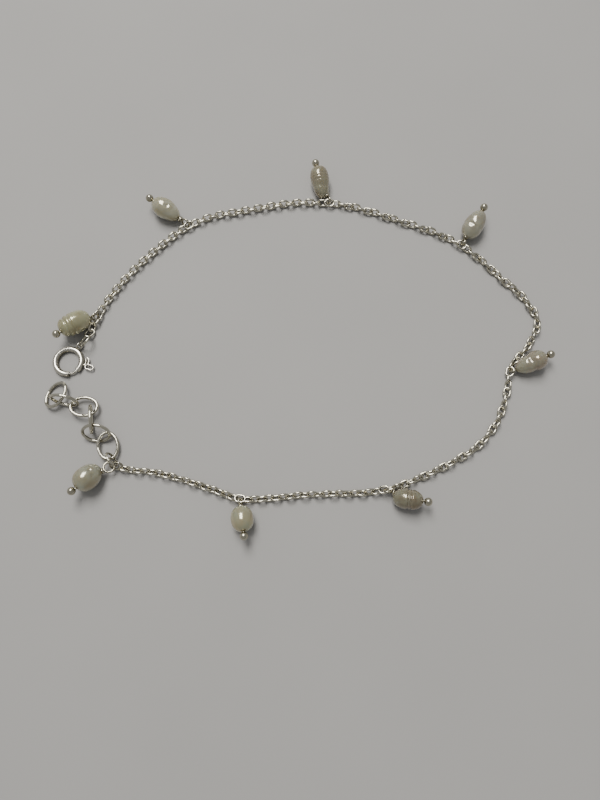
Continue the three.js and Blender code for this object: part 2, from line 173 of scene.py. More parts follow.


# %% [markdown]
# ### Sterling silver, polished, worn and lightly tarnished, with painted shade on its sides
#
# Silver is the brightest metal, a little warm. Wear leaves a soft haze of fine scratches, and
# tarnish lies in yellowish and olive-grey blotches of about 1.5 mm. The same dark film colour is
# also painted on the sides and undersides, more the further the surface turns from facing up:
# that is painted shade, which gives the wires dark edges beside their bright tops. The scratches
# are drawn 0.12 mm apart, coarser than real so that they show. The chain, the pins, the larger
# links and the clasp are four batches of the same metal: the pins are the dullest, and the clasp
# is the brightest on top and has the darkest painted shade on its sides.

# %% Materials: silver
def silver(name, bright, film_and_shade, side_shade, roughness):
    """Tarnished silver with painted shade. A 1.5 mm noise lays blotches of a dark tarnished colour,
    and the same colour is painted in more as the surface turns from facing up, as painted shade on
    the sides and underneath, whose edge the noise moves. A fine noise makes the polish uneven."""
    material, tree, shader = new_material(name)
    where = add_node(tree, "ShaderNodeTexCoord").outputs["Object"]
    facing = add_node(tree, "ShaderNodeNewGeometry").outputs["Normal"]
    facing_up = add_node(tree, "ShaderNodeSeparateXYZ", Vector=facing).outputs["Z"]
    blotch = add_node(tree, "ShaderNodeTexNoise", Vector=where, Scale=1 / (1.5 * MM),
                      Detail=4.0, Roughness=0.6).outputs["Fac"]
    scratch = add_node(tree, "ShaderNodeTexNoise", Vector=where, Scale=1 / (0.12 * MM),
                       Detail=2.0, Roughness=0.7).outputs["Fac"]
    # painted shade: the dark film colour is added more as the surface turns from facing up, on the sides
    # and underneath
    aside = number_range(tree, facing_up, 0.1, 0.8, side_shade, 0.0)
    # real tarnish blotches plus the painted side shade, mapped to the dark film colour
    film_and_shade_here = add_node(tree, "ShaderNodeMath", {"operation": "ADD"}, i0=blotch, i1=aside)
    colour = colour_ramp(tree, film_and_shade_here.outputs["Value"], [(0.55, bright), (0.85, film_and_shade)])
    tree.links.new(colour, shader.inputs["Base Color"])
    haze = number_range(tree, scratch, 0.35, 0.7, roughness * 0.75, roughness * 1.5)
    tree.links.new(haze, shader.inputs["Roughness"])
    bump = add_node(tree, "ShaderNodeBump", Height=scratch, Strength=0.03, Distance=0.02 * MM)
    tree.links.new(bump.outputs["Normal"], shader.inputs["Normal"])
    shader.inputs["Metallic"].default_value = 1.0
    return material


# third value: the dark colour of tarnish blotches and painted side shade; fourth: how strong the painted
# side shade is
chain_silver = silver("sterling_silver_chain", "c9c5b6", "aaa490", 0.22, 0.14)
pin_silver = silver("sterling_silver_pins", "bfbaa9", "7f7961", 0.3, 0.12)
link_silver = silver("sterling_silver_oval_links", "d0ccbe", "7d775f", 0.3, 0.09)
clasp_silver = silver("sterling_silver_clasp", "dfdbd0", "6d6852", 0.4, 0.11)
print("silver finishes made")

# %% [markdown]
# ### Freshwater nacre
#
# Nacre is stacked plates of aragonite, so a pearl is nearly half mirror and the rest body colour
# that light sinks into: metallic just under a half, subsurface below it and a clear glossy coat
# above. Its colour drifts between two tones in patches of 2.6 mm, and faint growth rings run
# round it. They follow the pearl, not the room, so they read the grain, an attribute that keeps
# each point's place in the pearl's own frame.

# %% Materials: nacre
def nacre(name, body, blush, rings):
    """Pearl nacre: a body colour that drifts to a blush, growth rings as bump, a clear coat."""
    material, tree, shader = new_material(name)
    grain = add_node(tree, "ShaderNodeAttribute", {"attribute_name": "grain"}).outputs["Vector"]
    patch = add_node(tree, "ShaderNodeTexNoise", Vector=grain, Scale=1 / (2.6 * MM),
                     Detail=2.0, Roughness=0.5).outputs["Fac"]
    colour = colour_ramp(tree, patch, [(0.38, body), (0.64, blush)])
    tree.links.new(colour, shader.inputs["Base Color"])
    stretched = add_node(tree, "ShaderNodeMapping", Vector=grain, Scale=(1.0, 0.16, 0.16))
    ring = add_node(tree, "ShaderNodeTexNoise", Vector=stretched.outputs["Vector"],
                    Scale=1 / (0.55 * MM), Detail=2.0, Roughness=0.5).outputs["Fac"]
    bump = add_node(tree, "ShaderNodeBump", Height=ring, Strength=rings, Distance=0.05 * MM)
    tree.links.new(bump.outputs["Normal"], shader.inputs["Normal"])
    shader.inputs["Metallic"].default_value = 0.45
    shader.inputs["Roughness"].default_value = 0.18
    shader.inputs["IOR"].default_value = 1.5
    shader.inputs["Subsurface Weight"].default_value = 1.0
    shader.inputs["Subsurface Radius"].default_value = (1.0, 0.9, 0.7)
    shader.inputs["Subsurface Scale"].default_value = 3.5 * MM
    shader.inputs["Coat Weight"].default_value = 1.0
    shader.inputs["Coat Roughness"].default_value = 0.08
    shader.inputs["Coat IOR"].default_value = 1.6
    return material


NACRE = {
    1: nacre("nacre_cream", "b4b29e", "a39e84", 0.2),
    2: nacre("nacre_pale_green", "95927d", "8a806c", 0.5),
    3: nacre("nacre_silver_rose", "a7a695", "958f7f", 0.4),
    4: nacre("nacre_rose", "9c9b88", "928574", 0.3),
    5: nacre("nacre_peach", "878572", "766953", 0.3),
    6: nacre("nacre_green_gold", "a1a289", "a89f82", 0.1),
    7: nacre("nacre_warm_cream", "a3a492", "978f75", 0.2),
    8: nacre("nacre_olive_gold", "adad8e", "989270", 0.25),
}
print("nacre finishes", len(NACRE))

# %% [markdown]
# ### The room
#
# Polished metal shows what is round it. The room is an even dim grey that grows a little brighter
# low down on the window's side. Its brightness is a ramp over the dot product of the direction
# looked in and the direction of the bright side.

# %% The room
ROOM_SIDE = (-0.46, 0.85, 0.25)
ROOM_DIM, ROOM_BRIGHT = 0.33, 0.46

world = bpy.data.worlds.new("dim_room")
bpy.context.scene.world = world
world.use_nodes = True
room = world.node_tree
sky = room.nodes["Background"]
looked_in = add_node(room, "ShaderNodeTexCoord").outputs["Generated"]
toward = add_node(room, "ShaderNodeVectorMath", {"operation": "DOT_PRODUCT"}, i0=looked_in, i1=ROOM_SIDE)
glow = number_range(room, toward.outputs["Value"], 0.0, 1.0, ROOM_DIM, ROOM_BRIGHT)
room.links.new(glow, sky.inputs["Strength"])
sky.inputs["Color"].default_value = linear("f6f6f4")
print("room brightest towards", ROOM_SIDE)

# %% [markdown]
# ## Wire as a surface
#
# Nearly every part of a chain is bent wire, which is a circle carried along a path. It could be a
# Blender curve with a bevel, but a grid of points worked out with numpy gives full control of
# where each row lies. Shapes are worked out in millimetres and turned to metres when they become
# a mesh. A grid's rows run along the path and its columns run round the wire.

# %% Grids, tubes and places
def grid_faces(rows, columns, rows_meet=False):
    """The four corners of each face of a grid whose last column meets its first."""
    r = np.arange(rows if rows_meet else rows - 1)[:, None]
    c = np.arange(columns)[None, :]
    r_next, c_next = (r + 1) % rows, (c + 1) % columns
    corners = (r * columns + c, r * columns + c_next, r_next * columns + c_next, r_next * columns + c)
    return np.stack(corners, -1).reshape(-1, 4)


def tube(path, radius, up, sides=14, closed=False):
    """A circle of radius r carried along a path: p + r (cos a side + sin a top), where side is
    up x way and top is way x side, so that the faces point out."""
    if closed:
        way = np.roll(path, -1, 0) - np.roll(path, 1, 0)
    else:
        way = np.gradient(path, axis=0)
    way = way / np.linalg.norm(way, axis=1, keepdims=True)
    side = np.cross(np.broadcast_to(up, path.shape), way)
    side = side / np.linalg.norm(side, axis=1, keepdims=True)
    top = np.cross(way, side)
    a = (np.arange(sides) * 2 * np.pi / sides)[None, :, None]
    r = np.broadcast_to(radius, len(path))[:, None, None]
    points = path[:, None] + r * (np.cos(a) * side[:, None] + np.sin(a) * top[:, None])
    return points.reshape(-1, 3), grid_faces(len(path), sides, closed)


def turned(heading=0.0, roll=0.0, pitch=0.0):
    """The matrix that rolls a piece about X, raises its nose and then heads it, all in degrees:
    Rz(heading) Ry(-pitch) Rx(roll)."""
    h, r, p = np.radians([heading, roll, pitch])
    about_z = np.array([[np.cos(h), -np.sin(h), 0], [np.sin(h), np.cos(h), 0], [0, 0, 1]])
    about_y = np.array([[np.cos(p), 0, -np.sin(p)], [0, 1, 0], [np.sin(p), 0, np.cos(p)]])
    about_x = np.array([[1, 0, 0], [0, np.cos(r), -np.sin(r)], [0, np.sin(r), np.cos(r)]])
    return about_z @ about_y @ about_x


def level(heading):
    """A level unit vector."""
    return np.array([np.cos(np.radians(heading)), np.sin(np.radians(heading)), 0])


def placed(part, matrix, at):
    """A part turned by a matrix and moved to a place."""
    points, faces = part
    return points @ np.asarray(matrix).T + np.asarray(at, float), faces


def joined(*parts):
    """Several parts as one list of points and one list of faces."""
    starts = np.cumsum([0] + [len(points) for points, _ in parts[:-1]])
    points = np.concatenate([points for points, _ in parts])
    return points, np.concatenate([faces + start for (_, faces), start in zip(parts, starts)])


# %% Making a piece
def make_piece(name, part, material, node, body="bracelet", grain=None):
    """A mesh object from a part in millimetres. Points that meet, as at a pole, become one.
    The grain is each point's place before the piece was laid, for patterns that follow it."""
    points, faces = part
    mesh = bpy.data.meshes.new(name)
    mesh.from_pydata((points * MM).tolist(), [], faces.tolist())
    if grain is not None:
        attribute = mesh.attributes.new("grain", "FLOAT_VECTOR", "POINT")
        attribute.data.foreach_set("vector", (grain * MM).astype(np.float32).ravel())
    whole = bmesh.new()
    whole.from_mesh(mesh)
    bmesh.ops.remove_doubles(whole, verts=whole.verts, dist=1e-8)
    whole.to_mesh(mesh)
    whole.free()
    mesh.polygons.foreach_set("use_smooth", np.ones(len(mesh.polygons), bool))
    mesh.materials.append(material)
    piece = bpy.data.objects.new(name, mesh)
    bpy.context.scene.collection.objects.link(piece)
    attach(piece, body)
    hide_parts(node)
    return piece


# %% [markdown]
# ## The route of the chain
#
# The chain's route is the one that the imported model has: a smooth curve through points on the
# table. A centripetal Catmull-Rom curve passes through all its points and doesn't loop at tight
# bends, which suits a chain that someone laid down by hand. The curve is sampled finely once, and
# a place along it is then read off by its distance from the start.

# %% The route
CHAIN_WIRE, LINK_LENGTH, LINK_WIDTH = 0.4, 2.0, 1.44
CHAIN_TUBE = 0.58
CHAIN_HEIGHT = CHAIN_TUBE * np.cos(np.pi / 8)
FLOOR_GAP = 0.02

CHAIN_ROUTE = np.array([
    (-36.47, 1.05), (-36.05, 2.3), (-35.5, 3.4), (-35.05, 4.6), (-34.25, 6.35), (-31.6, 10.5),
    (-28.3, 14.5), (-24.6, 18.2), (-20.6, 21.5), (-16.1, 23.7), (-11.0, 24.8), (-5.9, 25.8),
    (-0.8, 26.6), (4.4, 26.6), (9.5, 26.0), (14.5, 24.5), (19.4, 22.7), (24.3, 20.9),
    (28.9, 18.55), (32.95, 15.3), (36.5, 11.5), (40.1, 7.75), (42.25, 3.2), (40.25, -1.25),
    (36.9, -5.2), (35.7, -10.2), (33.7, -14.9), (30.3, -18.9), (25.9, -21.6), (21.3, -23.8),
    (16.4, -25.7), (11.3, -26.7), (6.1, -26.9), (0.9, -27.1), (-4.2, -27.6), (-9.4, -27.7),
    (-14.3, -26.1), (-19.3, -24.5), (-24.3, -23.3), (-27.6, -23.0), (-28.75, -22.75),
    (-29.98, -22.38)])


def smooth_route(points, samples=80):
    """A centripetal Catmull-Rom curve: between two points it is the cubic whose slopes are
    weighed by the square roots of the distances to the points on either side."""
    ends = (2 * points[:1] - points[1:2], points, 2 * points[-1:] - points[-2:-1])
    p = np.concatenate(ends)
    gap = np.linalg.norm(np.diff(p, axis=0), axis=1)[:, None] ** 0.5
    before, here, after = gap[:-2], gap[1:-1], gap[2:]
    p0, p1, p2, p3 = p[:-3], p[1:-2], p[2:-1], p[3:]
    start = here * ((p1 - p0) / before - (p2 - p0) / (before + here)) + (p2 - p1)
    end = (p2 - p1) + here * ((p3 - p2) / after - (p3 - p1) / (here + after))
    t = (np.arange(samples) / samples)[None, :, None]
    cubic = (p1[:, None] + start[:, None] * t
             + (3 * (p2 - p1) - 2 * start - end)[:, None] * t ** 2
             + (2 * (p1 - p2) + start + end)[:, None] * t ** 3)
    return np.concatenate([cubic.reshape(-1, 2), points[-1:]])


route = smooth_route(CHAIN_ROUTE)
steps = np.linalg.norm(np.diff(route, axis=0), axis=1)
distance = np.concatenate([[0], np.cumsum(steps)])
chain_length = distance[-1]


def on_route(along):
    """Points on the route, and the level unit vectors that it runs along there."""
    def at(s):
        return np.stack([np.interp(s, distance, route[:, k]) for k in (0, 1)], -1)
    along = np.asarray(along, float)
    step = 0.05
    way = at(np.minimum(along + step, chain_length)) - at(np.maximum(along - step, 0))
    return at(along), way / np.linalg.norm(way, axis=-1, keepdims=True)


print("chain length", round(float(chain_length), 1), "mm")

# %% [markdown]
# ## The drops' places
#
# Each drop hangs from one link of the chain by a loop bent in its pin, and lies over on the
# table, so that it climbs just as steeply as lets its pearl touch the table. The pearls are
# irregular, and the table names what shapes each one. Lengths are in millimetres: along is the
# distance of its link from the chain's first link, turn is the angle of the pearl's long axis
# from the pin, which passes it to one side by aside, and tuck is how deep the wrap sinks in. Loop
# is the radius of the pin's loop, and turns counts the wrap's turns. Blunt and taper shape the
# pearl's profile, and each groove is a place, a depth and a spread, all as shares.

# %% The drops
DROPS = [
    dict(number=1, along=27.05, heading=147, turn=0, aside=0, length=5.7, width=3.6, loop=0.72,
         turns=2.0, tuck=0.1, blunt=2.0, taper=0.1, grooves=[(0.3, 0.05, 0.08)]),
    dict(number=2, along=53.55, heading=109, turn=-10, aside=0.35, length=6.1, width=3.35, loop=0.53,
         turns=3.0, tuck=1.15, blunt=2.5, taper=0.2, grooves=[(0.36, 0.05, 0.07)]),
    dict(number=3, along=79.1, heading=58, turn=0, aside=-0.1, length=5.6, width=3.6, loop=0.56,
         turns=1.5, tuck=0.35, blunt=2.2, taper=-0.12, grooves=[(0.4, 0.04, 0.06)]),
    dict(number=4, along=109.85, heading=21.5, turn=2, aside=-0.05, length=5.7, width=3.4, loop=0.54,
         turns=1.5, tuck=0.8, blunt=2.1, taper=0.24, grooves=[(0.5, 0.1, 0.09)]),
    dict(number=5, along=142.3, heading=-17, turn=7, aside=-0.45, length=5.0, width=3.4, loop=0.66,
         turns=1.0, tuck=0.2, blunt=2.3, taper=0.0, grooves=[(0.5, 0.1, 0.03), (0.6, 0.09, 0.03)]),
    dict(number=6, along=166.0, heading=-81, turn=0, aside=0, length=4.3, width=3.75, loop=0.53,
         turns=1.0, tuck=0.2, blunt=2.2, taper=-0.02, grooves=[]),
    dict(number=7, along=None, heading=-142, turn=7, aside=-0.5, length=5.0, width=4.0, loop=0.84,
         turns=1.3, tuck=0.35, blunt=2.1, taper=0.08, grooves=[]),
    dict(number=8, along=3.45, heading=-145.5, turn=2.5, aside=-0.5, length=5.75, width=3.85, loop=0.6,
         turns=1.5, tuck=0.6, blunt=2.5, taper=0.04, grooves=[(0.64, 0.1, 0.03), (0.78, 0.12, 0.03)]),
]
PIN_WIRE, BALL_RADIUS, WRAP_GAP, SEAT_GAP = 0.36, 0.68, 0.12, 0.03
DROP_LINK = dict(length=2.0, width=1.5, wire=0.34)
LINK_LIFT = 0.4
LOOP_ROLL = 25


def pearl_radius(drop, v):
    """Half the width of a pearl at a share v of its length: a superellipse that leans to one
    end by its taper, less a soft groove (1 - depth exp(-((v - place) / spread)^2)) for each."""
    half = drop["width"] / 2
    across = np.abs(2 * v - 1)
    round_off = (1 - across ** drop["blunt"]) ** (1 / drop["blunt"])
    cuts = sum((deep * np.exp(-((v - place) / spread) ** 2)
                for place, deep, spread in drop["grooves"]), np.zeros_like(v))
    return half * round_off * (1 + drop["taper"] * (2 * v - 1)) * (1 - cuts)


def drop_places(drop):
    """Where the wrap, the pearl and the ball lie along the pin, from the middle of the loop."""
    wrap_start = drop["loop"] + WRAP_GAP
    wrap_end = wrap_start + drop["turns"] * PIN_WIRE
    middle = wrap_end + SEAT_GAP - drop["tuck"] + drop["length"] / 2
    ball = middle + drop["length"] / 2 + SEAT_GAP + BALL_RADIUS
    return dict(wrap_start=wrap_start, wrap_end=wrap_end, middle=middle, ball=ball)


def resting_slope(drop, hook_height, away):
    """The slope at which the pearl just rests on the table, found by halving a range. The
    pearl's middle is away from the hook, and its long axis climbs by cos(turn) of the slope."""
    low, high = 0.0, 0.6
    v = np.linspace(0, 1, 41)
    for _ in range(24):
        slope = (low + high) / 2
        climb = slope * np.cos(np.radians(drop["turn"]))
        height = hook_height + away * slope + (v - 0.5) * drop["length"] * climb
        lowest = (height - pearl_radius(drop, v) * np.sqrt(1 - climb ** 2)).min()
        low, high = (slope, high) if lowest < FLOOR_GAP else (low, slope)
    return high


# %% [markdown]
# ## The cable chain
#
# The chain is a plain cable chain of soldered oval links about 2 mm long. Each link stands
# nearly square to its neighbours, so on the table they lean half over to either side by turns and
# the chain reads as two rows of small loops, or they turn steadily where it is twisted. One link is
# modelled with few faces, because there are about 150, and then it is copied by a single array
# product of turning matrices and corner points. Every run between two drops replaces one tube of
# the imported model.

# %% A ring of wire
def oval_ring(length, width, wire, segments=40, sides=14, seam=0.0, oval=False):
    """Round wire bent to a ring that is longer along X: a circle whose two halves are drawn
    apart, by the sign of cos a, or a true oval, by cos a itself. A seam narrows the wire at the
    place where its ends were soldered."""
    a = (np.arange(segments) + 0.5) * 2 * np.pi / segments
    bend = (width - wire) / 2
    apart = np.cos(a) if oval else np.sign(np.cos(a))
    path = np.stack([bend * np.cos(a) + apart * (length - width) / 2,
                     bend * np.sin(a), np.zeros(segments)], -1)
    near_seam = np.exp(-((a - np.pi / 2) / (2 * np.pi / segments)) ** 2)
    return tube(path, wire / 2 * (1 - seam * near_seam), (0, 0, 1), sides, closed=True)


# %% Where the small links lie
LINK_PITCH = LINK_LENGTH - 2 * CHAIN_WIRE
HALF_BETWEEN = 1.05  # from a drop's link to the next small link, in links
STANDING_HEIGHT = LINK_WIDTH / 2
LYING_HEIGHT = 0.55
LEAN_SLIP = 0.04
ROLL_PLAY, HEADING_PLAY = 6, 3  # in degrees


def run_places(start, end):
    """The places along the route of the small links between two larger ones."""
    count = int(round((end - start) / LINK_PITCH - 2 * HALF_BETWEEN + 1))
    spacing = (end - start) / (count - 1 + 2 * HALF_BETWEEN)
    return start + spacing * (HALF_BETWEEN + np.arange(count))


def run_rolls(count, turn=None):
    """How far each link is rolled, with a little play. The links lean half over to either side by
    turns. In a twisted run they turn by about the same angle each, in a whole number of half
    turns from one flat drop link to the next."""
    if turn is None:
        rolls = 45 + 90.0 * np.arange(count)
    else:
        half_turns = max(1, round((count + 1) * turn / 180))
        rolls = 180.0 * half_turns * np.arange(1, count + 1) / (count + 1)
    return rolls + RNG.normal(0, ROLL_PLAY, count)


def link_frames(along, rolls):
    """A turning matrix and a middle for each link. Links that stand are carried higher, and links
    that lean half over slip a little towards their raised side, by LEAN_SLIP sin(2 roll)."""
    middle, way = on_route(along)
    heading = np.arctan2(way[:, 1], way[:, 0]) + np.radians(RNG.normal(0, HEADING_PLAY, len(along)))
    roll = np.radians(rolls)
    forward = np.stack([np.cos(heading), np.sin(heading), np.zeros_like(heading)], -1)
    across = np.stack([-np.sin(heading), np.cos(heading), np.zeros_like(heading)], -1)
    side = np.cos(roll)[:, None] * across + np.sin(roll)[:, None] * np.array([0, 0, 1.0])
    stand = np.abs(np.sin(roll))
    height = LYING_HEIGHT + (STANDING_HEIGHT + FLOOR_GAP - LYING_HEIGHT) * stand
    middle = middle + LEAN_SLIP * np.sin(2 * roll)[:, None] * across[:, :2]
    middles = np.concatenate([middle, height[:, None]], -1)
    return np.stack([forward, side, np.cross(forward, side)], -1), middles


# %% The cable chain
def cable_run(along, rolls):
    """One stretch of chain: every corner of the link under every turning matrix."""
    corners, faces = oval_ring(LINK_LENGTH, LINK_WIDTH, CHAIN_WIRE, segments=14, sides=6)
    matrices, middles = link_frames(along, rolls)
    points = np.einsum("nij,vj->nvi", matrices, corners) + middles[:, None]
    all_faces = faces[None] + (np.arange(len(along)) * len(corners))[:, None, None]
    return points.reshape(-1, 3), all_faces.reshape(-1, 4)


# The chain was twisted as it was laid: round its right end each link turns by 60 degrees, and in
# the run after that by 120.
RUN_TURNS = {4: 60, 5: 60, 6: 120}
stops = [0.0, *sorted(d["along"] for d in DROPS if d["along"] is not None), float(chain_length)]
for number, (start, end) in enumerate(zip(stops, stops[1:]), 1):
    along = run_places(start, end)
    run = cable_run(along, run_rolls(len(along), RUN_TURNS.get(number)))
    make_piece(f"cable_links_{number}", run, chain_silver, f"chain_{number}")
    print("run", number, "has", len(along), "links")

# %% [markdown]
# ## The larger links
#
# The end links, the links that carry drops, the extension and the jump ring are the same idea
# with thicker wire. There are few of them and they are seen close, so their wire is smooth, and
# each has the faint seam where its ends meet.

# %% The larger links
END_LINK = dict(length=2.5, width=1.8, wire=0.35)
EXTENSION_LINK = dict(length=5.1, width=3.75, wire=0.54)
JUMP_RING = dict(length=2.9, width=2.9, wire=0.4)
CLASP_JUMP_RING = dict(length=2.86, width=2.86, wire=0.4)
CLOSE_UP = dict(segments=64, sides=18, seam=0.14)

CHAIN_ENDS = [  # node, slot, size, place, then heading, roll and pitch
    ("end_link_clasp", "chain_silver", DROP_LINK, (-36.47, 1.05, 0.69), (57, 3, -17)),
    ("clasp_jump_ring", "clasp_silver", CLASP_JUMP_RING, (-37.04, -0.4, 1.17), (53, -49, 2)),
    ("end_link_extension", "chain_silver", END_LINK, (-29.98, -22.38, 1.15), (178, 129, -9)),
    ("jump_ring", "extension_silver", JUMP_RING, (-30.71, -21.35, 1.52), (-55, 102, 0)),
]
for node, slot, size, place, turns in CHAIN_ENDS:
    ring = placed(oval_ring(**size, **CLOSE_UP), turned(*turns), place)
    make_piece(f"round_{node}", ring, link_silver, node)

EXTENSION_PLACES = [  # x, y, z, heading, roll
    (-31.72, -18.96, 0.92, 103, 3), (-33.69, -16.92, 1.47, -4, 45), (-34.57, -14.64, 1.9, 97, -77),
    (-36.25, -12.28, 1.09, 178, 4), (-39.34, -11.37, 1.87, 169, 106), (-41.3, -10.13, 0.83, 63, -18)]
for number, (x, y, z, heading, roll) in enumerate(EXTENSION_PLACES, 1):
    ring = placed(oval_ring(**EXTENSION_LINK, **CLOSE_UP, oval=True), turned(heading, roll), (x, y, z))
    make_piece(f"oval_extension_link_{number}", ring, link_silver, f"extension_link_{number}")
print("larger links", len(CHAIN_ENDS) + len(EXTENSION_PLACES))

# %% [markdown]
# ## Head pins
#
# A head pin is a wire with a ball melted on its end. It goes through the pearl, is bent into a
# loop round its link, and its tail is wrapped about its own stem. Each of those is a path with
# the same round section: a circle for the loop, a straight stem, a helix for the wrap and a
# sphere for the ball. Wire ends are rounded off, as a file leaves them.

# %% Head pins
def with_round_ends(length, radius, steps):
    """Distances along a wire, closer together at its ends, and its radius there, which falls to
    nothing at each end as a half circle does."""
    turn = np.linspace(0, np.pi / 2, 6)
    cap = radius * (1 - np.cos(turn))
    s = np.concatenate([cap, np.linspace(radius, length - radius, steps)[1:-1], length - cap[::-1]])
    from_end = np.minimum(np.minimum(s, length - s), radius)
    return s, np.sqrt(np.maximum(radius ** 2 - (radius - from_end) ** 2, 0))


def straight_wire(start, end, radius, up, sides=14):
    """A straight wire between two points, with rounded ends."""
    start, end = np.asarray(start, float), np.asarray(end, float)
    length = np.linalg.norm(end - start)
    s, r = with_round_ends(length, radius, 4)
    return tube(start + (end - start) * (s / length)[:, None], r, up, sides)


def wrapped_wire(start, end, turns, core, radius, sides=12):
    """A helix about the X axis: the wire's middle is core + radius away from the axis."""
    reach = core + radius
    s, r = with_round_ends(2 * np.pi * reach * turns, radius, int(26 * turns))
    a = s / reach
    x = start + (end - start) * s / s[-1]
    out = np.stack([np.zeros_like(a), np.cos(a), np.sin(a)], -1)
    return tube(np.stack([x, np.zeros_like(a), np.zeros_like(a)], -1) + reach * out, r, out, sides)


def sphere(middle, radius, rows=20, columns=28):
    """A sphere about a point on the X axis: rows run from pole to pole along X."""
    p = np.linspace(0, np.pi, rows)[:, None]
    a = (np.arange(columns) * 2 * np.pi / columns)[None, :]
    x = middle - radius * np.cos(p) + 0 * a
    points = np.stack([x, radius * np.sin(p) * np.cos(a), radius * np.sin(p) * np.sin(a)], -1)
    return points.reshape(-1, 3), grid_faces(rows, columns)


def head_pin(drop):
    """The pin on the X axis, its loop about the origin in the XZ plane."""
    at = drop_places(drop)
    half = PIN_WIRE / 2
    a = np.arange(40) * 2 * np.pi / 40
    circle = drop["loop"] * np.stack([np.cos(a), 0 * a, np.sin(a)], -1)
    loop = tube(circle, half, (0, 1, 0), closed=True)
    stem = straight_wire((drop["loop"] - half, 0, 0), (at["ball"], 0, 0), half, (0, 0, 1))
    wrap = wrapped_wire(at["wrap_start"] + half, max(at["wrap_end"] - half, at["wrap_start"] + half),
                        drop["turns"], half, half)
    return joined(loop, stem, wrap, sphere(at["ball"], BALL_RADIUS))


# %% [markdown]
# ## Pearls
#
# Freshwater pearls grow as ovals with rings, dents and lumps. A turned profile alone looks like
# a moulded bead, so each pearl's radius is a function of two parameters, the share v of its
# length and the angle a round it: the profile, less its grooves, made a little oval, with low
# seeded waves and a few dents. The surface closes to a point at both ends, with no hole.

# %% Pearls
DENTS = {  # share of the length, angle in degrees (90 on top), depth and half width in mm
    1: [(0.46, 93, 0.2, 0.4)],
    2: [(0.3, 100, 0.08, 0.45), (0.5, 70, 0.06, 0.35), (0.72, 100, 0.05, 0.3)],
    3: [(0.42, 75, 0.1, 0.4), (0.6, 110, 0.05, 0.35)],
    4: [(0.45, 80, 0.2, 0.5), (0.35, 110, 0.12, 0.5), (0.62, 60, 0.1, 0.4), (0.8, 60, 0.08, 0.4)],
    7: [(0.34, 98, 0.14, 0.28), (0.38, 66, 0.15, 0.28)],
}
WAVES = {1: 0.01, 2: 0.012, 3: 0.015, 4: 0.025, 5: 0.006, 6: 0.004, 7: 0.012, 8: 0.004}
WAVE_SHAPES = ((1, 2.1), (2, 3.2), (3, 1.7), (2, 5.3), (4, 4.1))  # waves round, half waves along
RIPPLES = {2: (10.5, 0.011)}  # how many fine rings a pearl has, and how deep they are
RIPPLE_MIDDLE, RIPPLE_SPREAD = 0.6, 0.16
SLANT, OVALNESS = 0.02, 0.01
PEARL_ROWS, PEARL_COLUMNS = 110, 96


def pearl_grid(drop):
    """A pearl about the origin, its length along X: rows along it, closer at its ends, and one
    point for each angle round it. The radius is profile (1 + waves) - dents."""
    v = ((1 - np.cos(np.linspace(0, np.pi, PEARL_ROWS))) / 2)[:, None]
    a = (np.arange(PEARL_COLUMNS) * 2 * np.pi / PEARL_COLUMNS)[None, :]
    rng = np.random.default_rng(drop["number"])
    slant = SLANT * np.cos(a - rng.uniform(0, 2 * np.pi))
    profile = pearl_radius(drop, np.clip(v + slant * np.sin(np.pi * v), 0, 1))
    waves = OVALNESS * np.cos(2 * (a - rng.uniform(0, np.pi))) + 0 * v
    for around, lengthways in WAVE_SHAPES:
        phase = rng.uniform(0, 2 * np.pi, 2)
        waves = waves + 0.5 * WAVES[drop["number"]] * (
            np.cos(around * a + phase[0]) * np.cos(lengthways * np.pi * v + phase[1]))
    rings, ripple = RIPPLES.get(drop["number"], (0, 0))
    fade = np.exp(-((v - RIPPLE_MIDDLE) / RIPPLE_SPREAD) ** 2)
    waves = waves + ripple * np.cos(2 * np.pi * rings * v) * fade
    radius = profile * (1 + waves)
    for place, angle, depth, half in DENTS.get(drop["number"], []):
        off = np.angle(np.exp(1j * (a - np.radians(angle)))) * profile
        away = ((v - place) * drop["length"]) ** 2 + off ** 2
        radius = radius - depth * np.exp(-away / half ** 2)
    radius = np.maximum(radius, 0) * np.sign(v * (1 - v))
    x = (v - 0.5) * drop["length"] + 0 * a
    points = np.stack([x, radius * np.cos(a), radius * np.sin(a)], -1)
    return points.reshape(-1, 3), grid_faces(PEARL_ROWS, PEARL_COLUMNS)


# %% Hanging the drops
def hang_drop(drop, centre, slope, roll):
    """Lays a pin, rolled about its axis, and its pearl, from the middle of the loop."""
    pitch = np.degrees(np.arcsin(slope))
    number = drop["number"]
    pin = placed(head_pin(drop), turned(drop["heading"], roll, pitch), centre)
    make_piece(f"wrapped_pin_{number}", pin, pin_silver, f"head_pin_{number}")
    pearl = pearl_grid(drop)
    on_pin = placed(pearl, turned(drop["turn"]), (drop_places(drop)["middle"], drop["aside"], 0))
    points, faces = placed(on_pin, turned(drop["heading"], 0, pitch), centre)
    points[:, 2] = np.maximum(points[:, 2], FLOOR_GAP / 2)  # its bumps rest on the table
    make_piece(f"freshwater_pearl_{number}", (points, faces), NACRE[number], f"pearl_{number}",
               grain=pearl[0])


link_height = CHAIN_HEIGHT + LINK_LIFT
for drop in DROPS:
    if drop["along"] is None:
        continue
    middle, way = on_route(drop["along"])
    hook, way = np.array([*middle, link_height]), np.array([*way, 0])
    slope = resting_slope(drop, link_height, drop["loop"] + drop_places(drop)["middle"])
    axis = level(drop["heading"]) * np.sqrt(1 - slope ** 2) + np.array([0, 0, slope])
    up = np.cross(way, axis)
    up = up / np.linalg.norm(up) * np.sign(up[2])
    frame_of_link = np.stack([way, np.cross(up, way), up], -1)
    ring = placed(oval_ring(**DROP_LINK), frame_of_link, hook)
    make_piece(f"oval_drop_link_{drop['number']}", ring, link_silver,
               f"drop_link_{drop['number']}")
    hang_drop(drop, hook + axis * drop["loop"], slope, LOOP_ROLL)
    print("drop", drop["number"], "slope", round(slope, 3))

